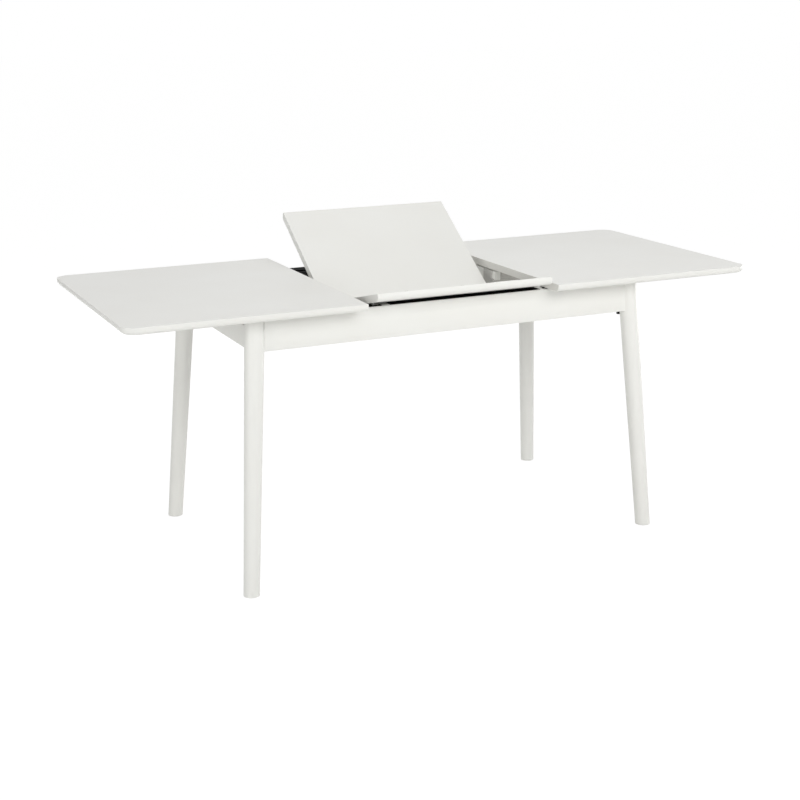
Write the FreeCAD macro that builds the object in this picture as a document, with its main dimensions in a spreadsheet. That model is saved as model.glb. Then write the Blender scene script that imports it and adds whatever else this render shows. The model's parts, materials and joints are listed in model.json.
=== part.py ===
"""Butterfly leaf table: its two top halves are pulled apart and one half of its folding leaf is raised.

Frame: origin on the floor under the middle of the table, +X along the length, +Y to the rear, +Z up.
Sizes are millimetres and degrees, and every driving dimension is a cell of the sheet "dims".
"""
import FreeCAD, Part
import math
import os
import re
import Sketcher
from FreeCAD import Placement, Rotation, Vector

DIMENSIONS = {
    # table top: two boards with a vertical nose above a quarter-round under-edge
    "table_height": 750, "half_width": 370, "top_length": 635, "board_thick": 20, "half_gap": 281,
    "corner_radius": 38, "under_radius": 14, "edge_round": 1,
    # folding leaf: half its length, the slopes of its two halves, the top of its seam,
    # and how far its middle lies to the right of the table's
    "leaf_half": 258.25, "leaf_shift": 3.25, "front_slope": 14.06, "rear_slope": 34.81,
    "seam_y": -9.2, "seam_z": 684.5, "seam_play": 0.3,
    # link hinges in the seam, measured from the leaf's upper face and from the seam
    "hinge_pitch": 180, "pin_offset": 10, "pin_depth": 2, "pin_radius": 1, "pin_length": 10,
    "pin_bore": 1.03, "link_radius": 1.9, "link_width": 5, "seat_width": 12, "seat_length": 14,
    "seat_depth": 6, "slot_width": 5.6, "slot_depth": 5, "slot_short": 12.4, "slot_long": 19.5,
    # legs: where the axis meets the floor and the underside of the top, and the radii there
    "foot_x": 609.5, "foot_y": 338.3, "knee_x": 557.5, "knee_y": 283.7, "foot_radius": 21.2,
    "knee_radius": 26.3, "leg_stretch": 60, "leg_play": 0.1, "glide_height": 1.5, "glide_radius": 17,
    # aprons: outer faces, and the notches that the slides pass through
    "frame_top": 726, "apron_bottom": 640, "rear_bottom": 627, "apron_y": 305, "apron_x": 573,
    "apron_thick": 20, "apron_end_x": 552, "apron_end_y": 275, "notch_y": 232, "notch_z": 700,
    # corner blocks, the diagonal leg bolts, and the lock bolts whose heads hang below the blocks
    "block_reach": 83, "block_top": 688, "bolt_z": 676, "bolt_radius": 4, "bolt_inside": 8,
    "bolt_outside": 13, "washer_radius": 9, "washer_thick": 1.6, "nut_radius": 7, "nut_thick": 6.5,
    "lock_x": 549, "lock_y": 262, "lock_head": 6, "lock_head_high": 17.5, "lock_shank": 3,
    "lock_rise": 22, "hole_play": 0.1,
    # spacer rails with a lip over the aprons, and what is screwed to their upper edge
    "rail_half": 480, "rail_bottom": 690, "rail_top": 727, "rail_thick": 23, "lip_inset": 0.6,
    "catch_x": 210, "catch_half": 22, "catch_y": 276, "catch_deep": 16, "catch_thick": 1,
    "catch_hole": 3, "catch_screw_x": 16,
    # telescopic slides: three nested channels, measured inwards from the spacer rail
    "slide_start": 5, "slide_length": 400, "travel_out": 281, "slide_z": 712.3, "steel": 1.2,
    "outer_high": 20.4, "outer_deep": 11.4, "middle_high": 16, "middle_back": 3.2, "middle_deep": 7.8,
    "inner_high": 11.6, "inner_back": 5.4, "inner_deep": 7,
    "runner_thick": 2.6, "runner_wide": 15.6, "runner_low": 706, "runner_inset": 20,
    # cross rails with a ramp that ends under a nose, and the storage rails between them
    "cross_thick": 18, "cross_bottom": 642, "cross_end_y": 230, "nose_front_y": 16, "nose_root_y": 28,
    "nose_z": 700, "ramp_low_z": 681, "ramp_high_y": 153, "ramp_high_z": 721, "storage_y": 140,
    "storage_wide": 20, "storage_high": 20,
    # guide plates, and the shaft that carries the leaf in their slanted slots
    "guide_thick": 3, "guide_front": 52, "guide_rear": 49, "guide_low": 646, "guide_high": 726,
    "guide_lip": 690, "guide_toe_y": 14.5, "guide_toe_z": 702, "guide_neck_y": 5.5,
    "guide_neck_z": 711, "guide_brow_y": 3, "guide_screw_in": 7,
    "pivot_back": 12, "pivot_drop": 30, "shaft_radius": 4, "shaft_end": 280.6, "run_play": 0.05,
    "roller_radius": 6, "roller_play": 0.3, "roller_start": 277.6, "collar_radius": 9,
    "collar_thick": 3.4,
    # lugs under the front leaf half
    "lug_inner_x": 80, "lug_outer_x": 238, "lug_thick": 4, "lug_radius": 9, "lug_foot_wide": 30,
    "lug_foot_front": 40, "lug_foot_rear": 2, "lug_foot_thick": 3, "lug_screw_x": 10,
    "lug_screw_y": 32,
    # screws
    "screw_radius": 1.75, "screw_head": 3.5, "head_high": 2, "thin_head_high": 0.8,
    "short_screw": 11, "long_screw": 14,
}
SIDES = (-1, 1)
CORNERS = [(side_x, side_y) for side_x in SIDES for side_y in SIDES]
SIDE_NAME = {-1: "left", 1: "right"}
DEPTH_NAME = {-1: "front", 1: "rear"}
CORNER_NAME = {corner: f"{DEPTH_NAME[corner[1]]}_{SIDE_NAME[corner[0]]}" for corner in CORNERS}
HINGES = (-1, 0, 1)
LUGS = ("-lug_outer_x", "-lug_inner_x", "lug_inner_x", "lug_outer_x")
ALONG = {"x": Rotation(Vector(0, 1, 0), 90), "y": Rotation(Vector(1, 0, 0), -90), "z": Rotation()}
WORDS = re.compile(r"[a-z]\w*")
FUNCTIONS = ("sqrt",)

document = FreeCAD.newDocument("butterfly_leaf_table")
sheet = document.addObject("Spreadsheet::Sheet", "dims")
for row, (alias, size) in enumerate(DIMENSIONS.items(), start=1):
    sheet.set(f"A{row}", alias)
    sheet.set(f"B{row}", str(size))
    sheet.setAlias(f"B{row}", alias)
document.recompute()
nodes = {}


# ---------------------------------------------------------------- small tools

def cell(alias):
    """The number that a cell of the sheet holds."""
    return float(sheet.get(alias))


def formula(words):
    """An expression in which each word names a cell of the sheet."""
    return WORDS.sub(lambda word: word[0] if word[0] in FUNCTIONS else f"dims.{word[0]}", str(words))


def bind(thing, prop, words):
    """Let the sheet drive one property."""
    thing.setExpression(prop, formula(words))


def span(side, near, far):
    """The stretch from near to far, on the given side of the middle."""
    return (f"{near}", f"{far}") if side > 0 else (f"-({far})", f"-({near})")


def around(middle, half):
    """The stretch that reaches half to both sides of a middle."""
    return (f"{middle} - ({half})", f"{middle} + {half}")


def box(name, x, y, z):
    """A block between two planes along each axis."""
    block = document.addObject("Part::Box", name)
    for axis, prop, (low, high) in zip("xyz", ("Length", "Width", "Height"), (x, y, z)):
        bind(block, prop, f"({high}) - ({low})")
        bind(block, f"Placement.Base.{axis}", low)
    return block


def rod(name, axis, radius, stretch, centre):
    """A cylinder along an axis; centre gives its place on the two other axes."""
    cylinder = document.addObject("Part::Cylinder", name)
    cylinder.Placement = Placement(Vector(), ALONG[axis])
    low, high = stretch
    bind(cylinder, "Radius", radius)
    bind(cylinder, "Height", f"({high}) - ({low})")
    bind(cylinder, f"Placement.Base.{axis}", low)
    for other, place in zip("xyz".replace(axis, ""), centre):
        bind(cylinder, f"Placement.Base.{other}", place)
    return cylinder


def group(name, parts):
    """Several solids under one name, left apart."""
    compound = document.addObject("Part::Compound", name)
    compound.Links = parts
    return compound


def fuse(name, parts):
    """Several solids joined into one."""
    union = document.addObject("Part::MultiFuse", name)
    union.Shapes = parts
    union.Refine = True
    return union


def cut(name, base, tools):
    """A solid with holes or pockets."""
    result = document.addObject("Part::Cut", name)
    result.Base = base
    result.Tool = group(f"{name}_tools", tools) if len(tools) > 1 else tools[0]
    return result


def panel(name, plane, points, thick, reverse=False):
    """A body padded from an outline, whose corner places are formulas."""
    body = document.addObject("PartDesign::Body", name)
    sketch = body.newObject("Sketcher::SketchObject", f"{name}_sketch")
    support = [entry for entry in body.Origin.OriginFeatures if entry.Role == plane][0]
    sketch.AttachmentSupport = [(support, "")]
    sketch.MapMode = "FlatFace"
    count = len(points)
    circle = [Vector(math.cos(2 * math.pi * i / count), math.sin(2 * math.pi * i / count), 0)
              for i in range(count)]
    for i in range(count):
        sketch.addGeometry(Part.LineSegment(circle[i], circle[(i + 1) % count]))
    for i in range(count):
        sketch.addConstraint(Sketcher.Constraint("Coincident", i, 2, (i + 1) % count, 1))
    for i, place in enumerate(points):
        for kind, words in zip(("DistanceX", "DistanceY"), place):
            index = sketch.addConstraint(Sketcher.Constraint(kind, -1, 1, i, 1, 1.0))
            bind(sketch, f"Constraints[{index}]", words)
    pad = body.newObject("PartDesign::Pad", f"{name}_pad")
    pad.Profile = sketch
    pad.Reversed = reverse
    bind(pad, "Length", thick)
    sketch.Visibility = False
    document.recompute()
    return body


def round_edges(body, name, radius, chosen):
    """Fillet the edges of the body's tip that the function picks."""
    tip = body.Tip
    picked = [f"Edge{i}" for i, edge in enumerate(tip.Shape.Edges, start=1) if chosen(edge)]
    fillet = body.newObject("PartDesign::Fillet", f"{body.Name}_{name}")
    fillet.Base = (tip, picked)
    bind(fillet, "Radius", radius)
    document.recompute()


def keep(name, thing, placement=None):
    """Declare a finished piece, and put it in its place."""
    if placement is not None:
        thing.Placement = placement
    thing.Label = name
    nodes[name] = thing


def screw(name, axis, way, head_face, centre, head_high="head_high", length="short_screw"):
    """A pan head whose shank runs from the head's face along the axis, towards way."""
    shank_end = f"{head_face} + {way} * {length}"
    head_end = f"{head_face} - {way} * {head_high}"
    shank = (head_face, shank_end) if way > 0 else (shank_end, head_face)
    head = (head_end, head_face) if way > 0 else (head_face, head_end)
    return fuse(name, [rod(f"{name}_shank", axis, "screw_radius", shank, centre),
                       rod(f"{name}_head", axis, "screw_head", head, centre)])


def screw_hole(name, axis, way, head_face, centre, length="short_screw"):
    """The hole that a screw's shank fills."""
    end = f"{head_face} + {way} * {length}"
    stretch = (head_face, end) if way > 0 else (end, head_face)
    return rod(name, axis, "screw_radius + run_play", stretch, centre)


# ---------------------------------------------------------------- frames of the folding leaf

def turned(angle, y, z):
    """A place on the leaf's cross-section, turned about the X axis."""
    turn = math.radians(angle)
    return Vector(0, y * math.cos(turn) - z * math.sin(turn), y * math.sin(turn) + z * math.cos(turn))


def tilted(place, angle):
    """A frame at a place, turned about the X axis."""
    return Placement(place, Rotation(Vector(1, 0, 0), angle))


FRONT_ANGLE = -cell("front_slope")
REAR_ANGLE = cell("rear_slope")
LINK_ANGLE = cell("rear_slope") - 2 * cell("front_slope")
front_seam = Vector(cell("leaf_shift"), cell("seam_y"), cell("seam_z"))
front_pin = front_seam + turned(FRONT_ANGLE, -cell("pin_offset"), -cell("pin_depth"))
rear_pin = front_pin + turned(LINK_ANGLE, 2 * cell("pin_offset"), 0)
rear_seam = rear_pin - turned(REAR_ANGLE, cell("pin_offset"), -cell("pin_depth"))
shaft_low = front_seam + turned(FRONT_ANGLE, -cell("pivot_back"), -cell("pivot_drop"))
shaft_low.x = 0
shaft_high = Vector(0, -cell("pivot_back"), cell("table_height") - cell("pivot_drop"))
FRONT_FRAME = tilted(front_seam, FRONT_ANGLE)
REAR_FRAME = tilted(rear_seam, REAR_ANGLE)
LINK_FRAME = tilted(front_pin, LINK_ANGLE)
SHAFT_FRAME = Placement(shaft_low, Rotation())


# ---------------------------------------------------------------- table top

def slab(name, x, y):
    """A board whose upper face lies on the XY plane."""
    outline = [(x[0], y[0]), (x[1], y[0]), (x[1], y[1]), (x[0], y[1])]
    return panel(name, "XY_Plane", outline, "board_thick", reverse=True)


def ends_at(edge, axis, place):
    """Whether a whole edge lies in a plane across an axis."""
    return all(abs(getattr(vertex, axis) - place) < 1e-3 for vertex in edge.Vertexes)


def top_half(side):
    """One half of the top, with rounded outer corners and a square inner edge."""
    outer = side * (cell("half_gap") + cell("top_length"))
    inner = side * cell("half_gap")
    body = slab(f"top_{SIDE_NAME[side]}_board", span(side, "half_gap", "half_gap + top_length"),
                ("-half_width", "half_width"))
    round_edges(body, "corners", "corner_radius",
                lambda edge: ends_at(edge, "X", outer) and abs(edge.tangentAt(0).z) > 0.5)
    for name, radius, level in (("under", "under_radius", -cell("board_thick")), ("over", "edge_round", 0)):
        round_edges(body, name, radius,
                    lambda edge: ends_at(edge, "Z", level) and not ends_at(edge, "X", inner))
    body.Placement = Placement(Vector(0, 0, cell("table_height")), Rotation())
    holes = [screw_hole(f"{body.Name}_hole_{i}", "z", 1, RUNNER_FACE, centre, "long_screw")
             for i, centre in enumerate(runner_screws(side))]
    keep(f"top_{SIDE_NAME[side]}", cut(f"top_{SIDE_NAME[side]}", body, holes))


# ---------------------------------------------------------------- folding leaf and its hinges

def hinge_middle(hinge):
    """Where a hinge lies along the seam."""
    return f"{hinge} * hinge_pitch"


def lug_screws():
    """Where the lugs' screws go, in the leaf's frame."""
    return [(f"{lug} + {side} * lug_screw_x", "-lug_screw_y") for lug in LUGS for side in SIDES]


def leaf_half(side):
    """One half of the leaf, with pockets for its hinge seats."""
    name = f"leaf_{DEPTH_NAME[side]}"
    outer = side * cell("half_width")
    body = slab(f"{name}_board", ("-leaf_half", "leaf_half"), span(side, "seam_play", "half_width"))
    for rim, radius, level in (("under", "under_radius", -cell("board_thick")), ("over", "edge_round", 0)):
        round_edges(body, rim, radius, lambda edge: ends_at(edge, "Z", level) and ends_at(edge, "Y", outer))
    tools = [box(f"{name}_pocket_{i}", around(hinge_middle(hinge), "seat_width / 2"),
                 span(side, 0, "seat_length"), ("-seat_depth", 1)) for i, hinge in enumerate(HINGES)]
    if side < 0:
        tools += [box(f"{name}_slot_{i}", around(hinge_middle(hinge), "slot_width / 2"),
                      span(side, "seat_length", "slot_long"), ("-slot_depth", 1))
                  for i, hinge in enumerate(HINGES)]
        tools += [screw_hole(f"{name}_hole_{i}", "z", 1, LUG_FACE, centre, "long_screw")
                  for i, centre in enumerate(lug_screws())]
    keep(name, cut(name, body, tools), FRONT_FRAME if side < 0 else REAR_FRAME)


def hinge_seats(side):
    """Brass seats let into the leaf's upper face, each with a slot for its link."""
    name = f"hinge_seats_{DEPTH_NAME[side]}"
    seats = []
    for i, hinge in enumerate(HINGES):
        block = box(f"{name}_block_{i}", around(hinge_middle(hinge), "seat_width / 2"),
                    span(side, "seam_play", "seat_length"), ("-seat_depth", 0))
        slot_end = "seat_length + 1" if side < 0 else "slot_short"
        slot = box(f"{name}_slot_{i}", around(hinge_middle(hinge), "slot_width / 2"),
                   span(side, 0, slot_end), ("-slot_depth", 1))
        bore = rod(f"{name}_bore_{i}", "x", "pin_bore", around(hinge_middle(hinge), "pin_length / 2"),
                   (f"{side} * pin_offset", "-pin_depth"))
        seats.append(cut(f"{name}_{i}", block, [fuse(f"{name}_void_{i}", [slot, bore])]))
    keep(name, group(name, seats), FRONT_FRAME if side < 0 else REAR_FRAME)


def hinge_pins(side):
    """The pins of one leaf half."""
    name = f"hinge_pins_{DEPTH_NAME[side]}"
    pins = [rod(f"{name}_{i}", "x", "pin_radius", around(hinge_middle(hinge), "pin_length / 2"),
                (f"{side} * pin_offset", "-pin_depth")) for i, hinge in enumerate(HINGES)]
    keep(name, group(name, pins), FRONT_FRAME if side < 0 else REAR_FRAME)


def hinge_links():
    """Links between the two rows of pins, in a frame with its origin on the front pins."""
    links = []
    for i, hinge in enumerate(HINGES):
        width = around(hinge_middle(hinge), "link_width / 2")
        ends = ["0", "2 * pin_offset"]
        eyes = [rod(f"link_eye_{i}_{k}", "x", "link_radius", width, (y, 0)) for k, y in enumerate(ends)]
        bar = box(f"link_bar_{i}", width, tuple(ends), ("-link_radius", "link_radius"))
        bores = [rod(f"link_bore_{i}_{k}", "x", "pin_bore", width, (y, 0)) for k, y in enumerate(ends)]
        links.append(cut(f"link_{i}", fuse(f"link_blank_{i}", eyes + [bar]), bores))
    keep("hinge_links", group("hinge_links", links), LINK_FRAME)


# ---------------------------------------------------------------- guide shaft and its lugs

LUG_FACE = "-board_thick - lug_foot_thick"
RUNNER_FACE = "table_height - board_thick - runner_thick"


def leaf_lugs():
    """Steel lugs under the front leaf half that turn on the guide shaft."""
    lugs = []
    for i, lug in enumerate(LUGS):
        foot = box(f"lug_foot_{i}", around(lug, "lug_foot_wide / 2"), ("-lug_foot_front", "-lug_foot_rear"),
                   (LUG_FACE, "-board_thick"))
        cheek = box(f"lug_cheek_{i}", around(lug, "lug_thick / 2"), around("-pivot_back", "lug_radius"),
                    ("-pivot_drop", "-board_thick"))
        eye = rod(f"lug_eye_{i}", "x", "lug_radius", around(lug, "lug_thick / 2"),
                  ("-pivot_back", "-pivot_drop"))
        bore = rod(f"lug_bore_{i}", "x", "shaft_radius + run_play", around(lug, "lug_thick"),
                   ("-pivot_back", "-pivot_drop"))
        holes = [screw_hole(f"lug_hole_{i}_{k}", "z", 1, LUG_FACE, centre, "long_screw")
                 for k, centre in enumerate(lug_screws()[2 * i:2 * i + 2])]
        lugs.append(cut(f"lug_{i}", fuse(f"lug_blank_{i}", [foot, cheek, eye]), [bore] + holes))
    keep("leaf_lugs", group("leaf_lugs", lugs), FRONT_FRAME)
    screws = [screw(f"lug_screw_{i}", "z", 1, LUG_FACE, centre, length="long_screw")
              for i, centre in enumerate(lug_screws())]
    keep("lug_screws", group("lug_screws", screws), FRONT_FRAME)


def guide_shaft():
    """The shaft under the seam, and the flanged rollers that run in the guide slots."""
    keep("guide_shaft", rod("guide_shaft", "x", "shaft_radius", ("-shaft_end", "shaft_end"),
                            (shaft_low.y, shaft_low.z)))
    rollers = []
    for side in SIDES:
        hub = rod(f"roller_hub_{side}", "x", "roller_radius", span(side, "roller_start", "shaft_end"), (0, 0))
        collar = rod(f"roller_collar_{side}", "x", "collar_radius",
                     span(side, "roller_start - collar_thick", "roller_start"), (0, 0))
        bore = rod(f"roller_bore_{side}", "x", "shaft_radius + run_play",
                   span(side, "roller_start - collar_thick", "shaft_end"), (0, 0))
        rollers.append(cut(f"roller_{SIDE_NAME[side]}", fuse(f"roller_blank_{side}", [hub, collar]), [bore]))
    keep("guide_rollers", group("guide_rollers", rollers), SHAFT_FRAME)


def guide_screws():
    """Where a guide plate's screws go."""
    return [(y, z) for y in ("guide_screw_in - guide_front", "guide_rear - guide_screw_in")
            for z in ("guide_low + guide_screw_in", "guide_lip - guide_screw_in")]


def guide_plate(side):
    """A steel plate with a slanted slot that opens to the front near its upper end."""
    name = f"guide_plate_{SIDE_NAME[side]}"
    outline = [("-guide_front", "guide_low"), ("guide_rear", "guide_low"), ("guide_rear", "guide_high"),
               ("-guide_brow_y", "guide_high"), ("guide_neck_y", "guide_neck_z"),
               ("guide_brow_y", "guide_toe_z + guide_brow_y"), ("-guide_toe_y", "guide_toe_z"),
               ("-guide_toe_y", "guide_lip"), ("-guide_front", "guide_lip")]
    body = panel(f"{name}_body", "YZ_Plane", outline, "guide_thick")
    bind(body, "Placement.Base.x", span(side, "half_gap - guide_thick", "half_gap")[0])
    path = shaft_high - shaft_low
    stretch = span(side, "half_gap - 2 * guide_thick", "half_gap + guide_thick")
    ends = [rod(f"{name}_end_{i}", "x", "roller_radius + roller_play", stretch, (0, height))
            for i, height in enumerate((0, path.Length))]
    way = box(f"{name}_way", stretch, around(0, "roller_radius + roller_play"), (0, path.Length))
    slot = fuse(f"{name}_slot", ends + [way])
    slot.Placement = Placement(shaft_low, Rotation(Vector(0, 0, 1), path))
    holes = [screw_hole(f"{name}_hole_{i}", "x", side, f"{side} * (half_gap - guide_thick)", centre)
             for i, centre in enumerate(guide_screws())]
    keep(name, cut(name, body, [slot] + holes))


def cross_rail(side):
    """A board between the aprons, low at its ends, with a ramp down to the leaf's seam under a nose."""
    name = f"cross_rail_{SIDE_NAME[side]}"
    outline = [("-apron_y + apron_thick", "cross_bottom"), ("apron_y - apron_thick", "cross_bottom"),
               ("apron_y - apron_thick", "block_top"), ("cross_end_y", "block_top"),
               ("cross_end_y", "frame_top"), ("-nose_front_y", "frame_top"),
               ("-nose_front_y", "nose_z"), ("nose_root_y", "nose_z"), ("nose_root_y", "ramp_low_z"),
               ("-ramp_high_y", "ramp_high_z"), ("-ramp_high_y", "frame_top"),
               ("-cross_end_y", "frame_top"), ("-cross_end_y", "block_top"),
               ("-apron_y + apron_thick", "block_top")]
    body = panel(f"{name}_board", "YZ_Plane", outline, "cross_thick")
    bind(body, "Placement.Base.x", span(side, "half_gap", "half_gap + cross_thick")[0])
    holes = [screw_hole(f"{name}_hole_{i}", "x", side, f"{side} * (half_gap - guide_thick)", centre)
             for i, centre in enumerate(guide_screws())]
    keep(name, cut(name, body, holes))


def guide_plate_screws():
    """The screws that hold both guide plates to the cross rails."""
    screws = [screw(f"guide_screw_{SIDE_NAME[side]}_{i}", "x", side, f"{side} * (half_gap - guide_thick)",
                    centre) for side in SIDES for i, centre in enumerate(guide_screws())]
    keep("guide_plate_screws", group("guide_plate_screws", screws))


def storage_rails():
    """Two boards between the cross rails, under the folded leaf."""
    rails = [box(f"storage_{side}", ("-half_gap", "half_gap"),
                 span(side, "storage_y", "storage_y + storage_wide"),
                 ("cross_bottom", "cross_bottom + storage_high")) for side in SIDES]
    keep("storage_rails", group("storage_rails", rails))


# ---------------------------------------------------------------- legs, aprons and corners

LEG_LENGTH = "sqrt((foot_x - knee_x)^2 + (foot_y - knee_y)^2 + (table_height - board_thick)^2)"
LEG_TAPER = f"(knee_radius - foot_radius) / {LEG_LENGTH}"


def leg_axis(corner):
    """The leg's foot, and the direction from there to its upper end."""
    side_x, side_y = corner
    foot = Vector(side_x * cell("foot_x"), side_y * cell("foot_y"), 0)
    underside = cell("table_height") - cell("board_thick")
    knee = Vector(side_x * cell("knee_x"), side_y * cell("knee_y"), underside)
    return foot, (knee - foot).normalize()


def leg_cone(name, corner, play=0):
    """The leg's taper, longer than the leg at both ends."""
    foot, direction = leg_axis(corner)
    cone = document.addObject("Part::Cone", name)
    bind(cone, "Radius1", f"foot_radius - leg_stretch * {LEG_TAPER} + {play}")
    bind(cone, "Radius2", f"knee_radius + leg_stretch * {LEG_TAPER} + {play}")
    bind(cone, "Height", f"{LEG_LENGTH} + 2 * leg_stretch")
    cone.Placement = Placement(foot - direction * cell("leg_stretch"), Rotation(Vector(0, 0, 1), direction))
    return cone


def bolt_frame(corner):
    """A frame on the leg's axis at the bolt's height, with its Z axis pointing inwards on the diagonal."""
    foot, direction = leg_axis(corner)
    middle = foot + direction * (cell("bolt_z") / direction.z)
    return Placement(middle, Rotation(Vector(0, 0, 1), Vector(-corner[0], -corner[1], 0)))


def bolt_reach():
    """How far the corner block's diagonal face lies from the leg's axis."""
    middle = bolt_frame((1, 1)).Base
    corner_sum = cell("apron_x") + cell("apron_y") - 2 * cell("apron_thick")
    return (middle.x + middle.y - corner_sum + cell("block_reach")) / math.sqrt(2)


def on_bolt_axis(piece, corner):
    """A piece that was made upright at the origin, moved onto a corner's bolt."""
    turned_piece = group(f"{piece.Name}_turned", [piece])
    turned_piece.Placement = bolt_frame(corner)
    return turned_piece


def bolt_hole(name, corner):
    """The hole for a leg bolt, through the corner block and into the leg."""
    stretch = ("-bolt_inside - hole_play", f"{bolt_reach()} + bolt_outside")
    return on_bolt_axis(rod(name, "z", "bolt_radius + hole_play", stretch, (0, 0)), corner)


def leg(corner):
    """A round tapered leg, cut level at the floor glide and under the top."""
    name = f"leg_{CORNER_NAME[corner]}"
    layer = box(f"{name}_layer", around(0, "top_length + half_gap"), around(0, "top_length"),
                ("glide_height", "frame_top"))
    trimmed = document.addObject("Part::Common", f"{name}_trimmed")
    trimmed.Base = leg_cone(f"{name}_cone", corner)
    trimmed.Tool = layer
    keep(name, cut(name, trimmed, [bolt_hole(f"{name}_hole", corner)]))


def long_apron(side):
    """The front or rear apron, scribed to the legs at both ends; the rear one is a little deeper."""
    name = f"apron_{DEPTH_NAME[side]}"
    board = box(f"{name}_board", ("-apron_end_x", "apron_end_x"),
                span(side, "apron_y - apron_thick", "apron_y"),
                ("apron_bottom" if side < 0 else "rear_bottom", "frame_top"))
    keep(name, cut(name, board, [leg_cone(f"{name}_leg_{end}", (end, side), "leg_play") for end in SIDES]))


def end_apron(side):
    """An end apron, scribed to the legs and notched for the slides."""
    name = f"apron_{SIDE_NAME[side]}"
    board = box(f"{name}_board", span(side, "apron_x - apron_thick", "apron_x"),
                ("-apron_end_y", "apron_end_y"), ("apron_bottom", "frame_top"))
    notches = [box(f"{name}_notch_{end}", span(side, "apron_x - 2 * apron_thick", "apron_x + apron_thick"),
                   span(end, "notch_y", "apron_y"), ("notch_z", "table_height")) for end in SIDES]
    notched = cut(f"{name}_notched", board, notches)
    keep(name, cut(name, notched, [leg_cone(f"{name}_leg_{end}", (side, end), "leg_play") for end in SIDES]))


def corner_block(corner):
    """A block inside the corner, scribed around the leg, with a diagonal face."""
    name = f"corner_block_{CORNER_NAME[corner]}"
    side_x, side_y = corner
    inner_x, inner_y = "(apron_x - apron_thick)", "(apron_y - apron_thick)"
    outline = [(f"{side_x} * {inner_x}", f"{side_y} * {inner_y}"),
               (f"{side_x} * ({inner_x} - block_reach)", f"{side_y} * {inner_y}"),
               (f"{side_x} * {inner_x}", f"{side_y} * ({inner_y} - block_reach)")]
    body = panel(f"{name}_body", "XY_Plane", outline, "block_top - apron_bottom")
    bind(body, "Placement.Base.z", "apron_bottom")
    lock_hole = rod(f"{name}_lock_hole", "z", "lock_shank + run_play",
                    ("apron_bottom", "apron_bottom + lock_rise"),
                    (f"{side_x} * lock_x", f"{side_y} * lock_y"))
    scribed = cut(f"{name}_scribed", body, [leg_cone(f"{name}_leg", corner, "leg_play")])
    drilled = cut(f"{name}_drilled", scribed, [bolt_hole(f"{name}_hole", corner)])
    keep(name, cut(name, drilled, [lock_hole]))


def bolt_set(corner):
    """The leg bolt of one corner, its washer against the block, and its nut."""
    word = CORNER_NAME[corner]
    reach = bolt_reach()
    bolt_end = f"{reach} + bolt_outside"
    washer = (f"{reach}", f"{reach} + washer_thick")
    pieces = [
        rod(f"bolt_{word}", "z", "bolt_radius", ("-bolt_inside", bolt_end), (0, 0)),
        cut(f"washer_{word}", rod(f"washer_{word}_disc", "z", "washer_radius", washer, (0, 0)),
            [rod(f"washer_{word}_bore", "z", "bolt_radius + hole_play", washer, (0, 0))]),
        cut(f"nut_{word}", hexagon(f"nut_{word}_hexagon", washer[1]),
            [rod(f"nut_{word}_bore", "z", "bolt_radius + run_play", (washer[0], bolt_end), (0, 0))]),
    ]
    return [on_bolt_axis(piece, corner) for piece in pieces]


def lock_bolt(corner):
    """A bolt up into the corner block, with its round head below the apron."""
    name = f"lock_{CORNER_NAME[corner]}"
    place = (f"{corner[0]} * lock_x", f"{corner[1]} * lock_y")
    head = rod(f"{name}_head", "z", "lock_head", ("apron_bottom - lock_head_high", "apron_bottom"), place)
    shank = rod(f"{name}_shank", "z", "lock_shank", ("apron_bottom", "apron_bottom + lock_rise"), place)
    return fuse(name, [head, shank])


def corner_hardware():
    """What is bolted to or set under the four legs."""
    for name, pieces in zip(("leg_bolts", "leg_washers", "leg_nuts"), zip(*map(bolt_set, CORNERS))):
        keep(name, group(name, list(pieces)))
    keep("lock_bolts", group("lock_bolts", [lock_bolt(corner) for corner in CORNERS]))
    feet = [(CORNER_NAME[corner], leg_axis(corner)[0]) for corner in CORNERS]
    glides = [rod(f"glide_{word}", "z", "glide_radius", (0, "glide_height"), (foot.x, foot.y))
              for word, foot in feet]
    keep("foot_glides", group("foot_glides", glides))


def hexagon(name, start):
    """A nut's blank."""
    prism = document.addObject("Part::Prism", name)
    prism.Polygon = 6
    bind(prism, "Circumradius", "nut_radius")
    bind(prism, "Height", "nut_thick")
    bind(prism, "Placement.Base.z", start)
    return prism


# ---------------------------------------------------------------- slides

RAIL_FACE = "apron_y - apron_thick - rail_thick"


def spacer_rail(depth):
    """A black rail on the inside of a long apron, with a lip over it; the rail carries the slides."""
    name = f"spacer_rail_{DEPTH_NAME[depth]}"
    length = ("-rail_half", "rail_half")
    beam = box(f"{name}_beam", length, span(depth, RAIL_FACE, "apron_y - apron_thick"),
               ("rail_bottom", "rail_top"))
    lip = box(f"{name}_lip", length, span(depth, "apron_y - apron_thick", "apron_y - lip_inset"),
              ("frame_top", "rail_top"))
    board = fuse(f"{name}_board", [beam, lip])
    holes = [screw_hole(f"{name}_hole_{SIDE_NAME[side]}_{i}", "y", depth, f"{depth} * ({RAIL_FACE} - steel)",
                        centre) for side in SIDES for i, centre in enumerate(slide_screws(side))]
    holes.append(rod(f"{name}_catch_hole", "z", "screw_radius + run_play",
                     ("rail_top - short_screw + catch_thick", "rail_top"), catch_screw(depth)))
    keep(name, cut(name, board, holes))


def slide_screws(side):
    """Where the screws of the fixed channels at one end go."""
    return [(f"{side} * (slide_start + {share} * slide_length)", "slide_z") for share in (0.1, 0.5, 0.9)]


def catch_screw(depth):
    """Where the catch plate's screw goes."""
    return (f"{depth} * (catch_x + catch_screw_x)", f"{depth} * catch_y")


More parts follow.
